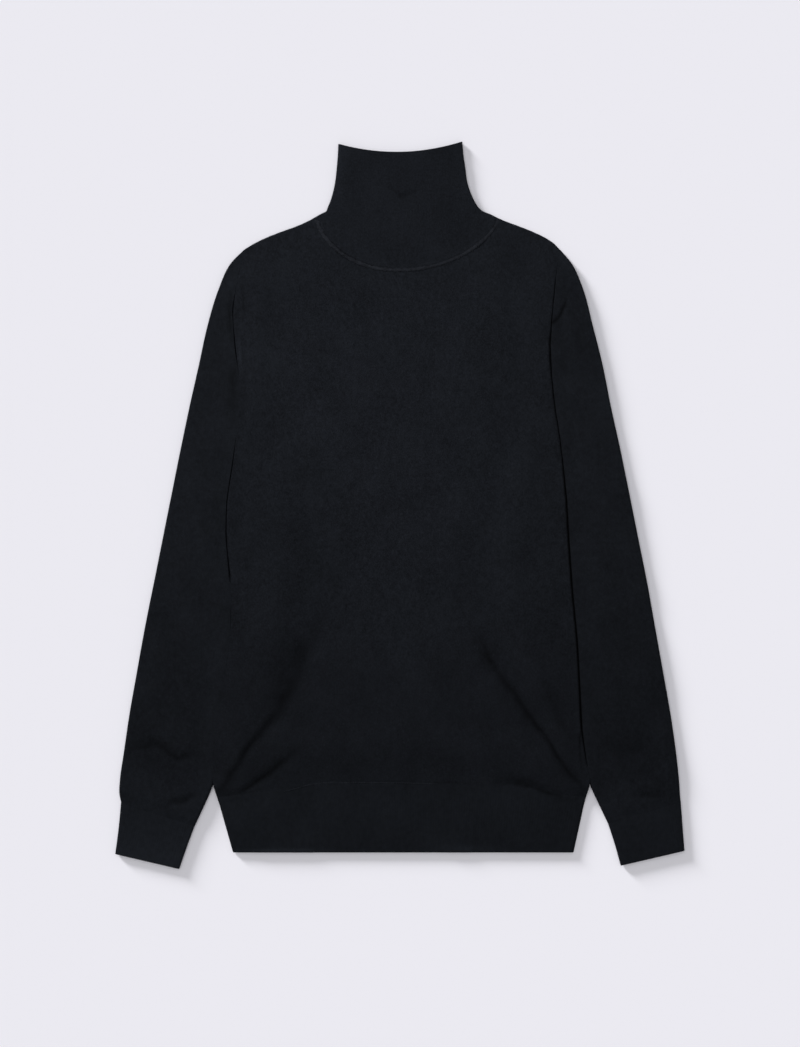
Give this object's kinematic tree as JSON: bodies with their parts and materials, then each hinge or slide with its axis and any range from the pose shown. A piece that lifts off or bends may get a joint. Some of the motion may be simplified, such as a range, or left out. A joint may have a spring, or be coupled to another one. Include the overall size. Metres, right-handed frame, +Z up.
{
  "type": "turtleneck sweater",
  "caption": "Plain black turtleneck sweater of fine knit with a standing collar, long sleeves, ribbed cuffs and a ribbed hem, laid flat with its front up.",
  "frame": {"origin": "on the surface the sweater lies on, under the middle of its whole outline, where the back panel's underside rests", "axes": "+Z up from the surface, out of the front panel; +Y along the body towards the collar; +X towards the viewer's right, looking down on the front with the collar away from the viewer"},
  "size_m": [0.6071, 0.7755, 0.0098],
  "materials": {
    "body_knit": "fine plain knit of matt black wool",
    "sleeve_knit": "fine plain knit of matt black wool",
    "collar_knit": "fine close rib of matt black wool with a raised linking ridge at its foot",
    "rib_knit": "fine close rib of matt black wool"
  },
  "bodies": {
    "root": {"front": "body_knit", "back": "body_knit", "sleeve_left": "sleeve_knit", "sleeve_right": "sleeve_knit", "collar": "collar_knit", "hem_rib_front": "rib_knit", "hem_rib_back": "rib_knit", "cuff_left": "rib_knit", "cuff_right": "rib_knit"}
  },
  "joints": []
}
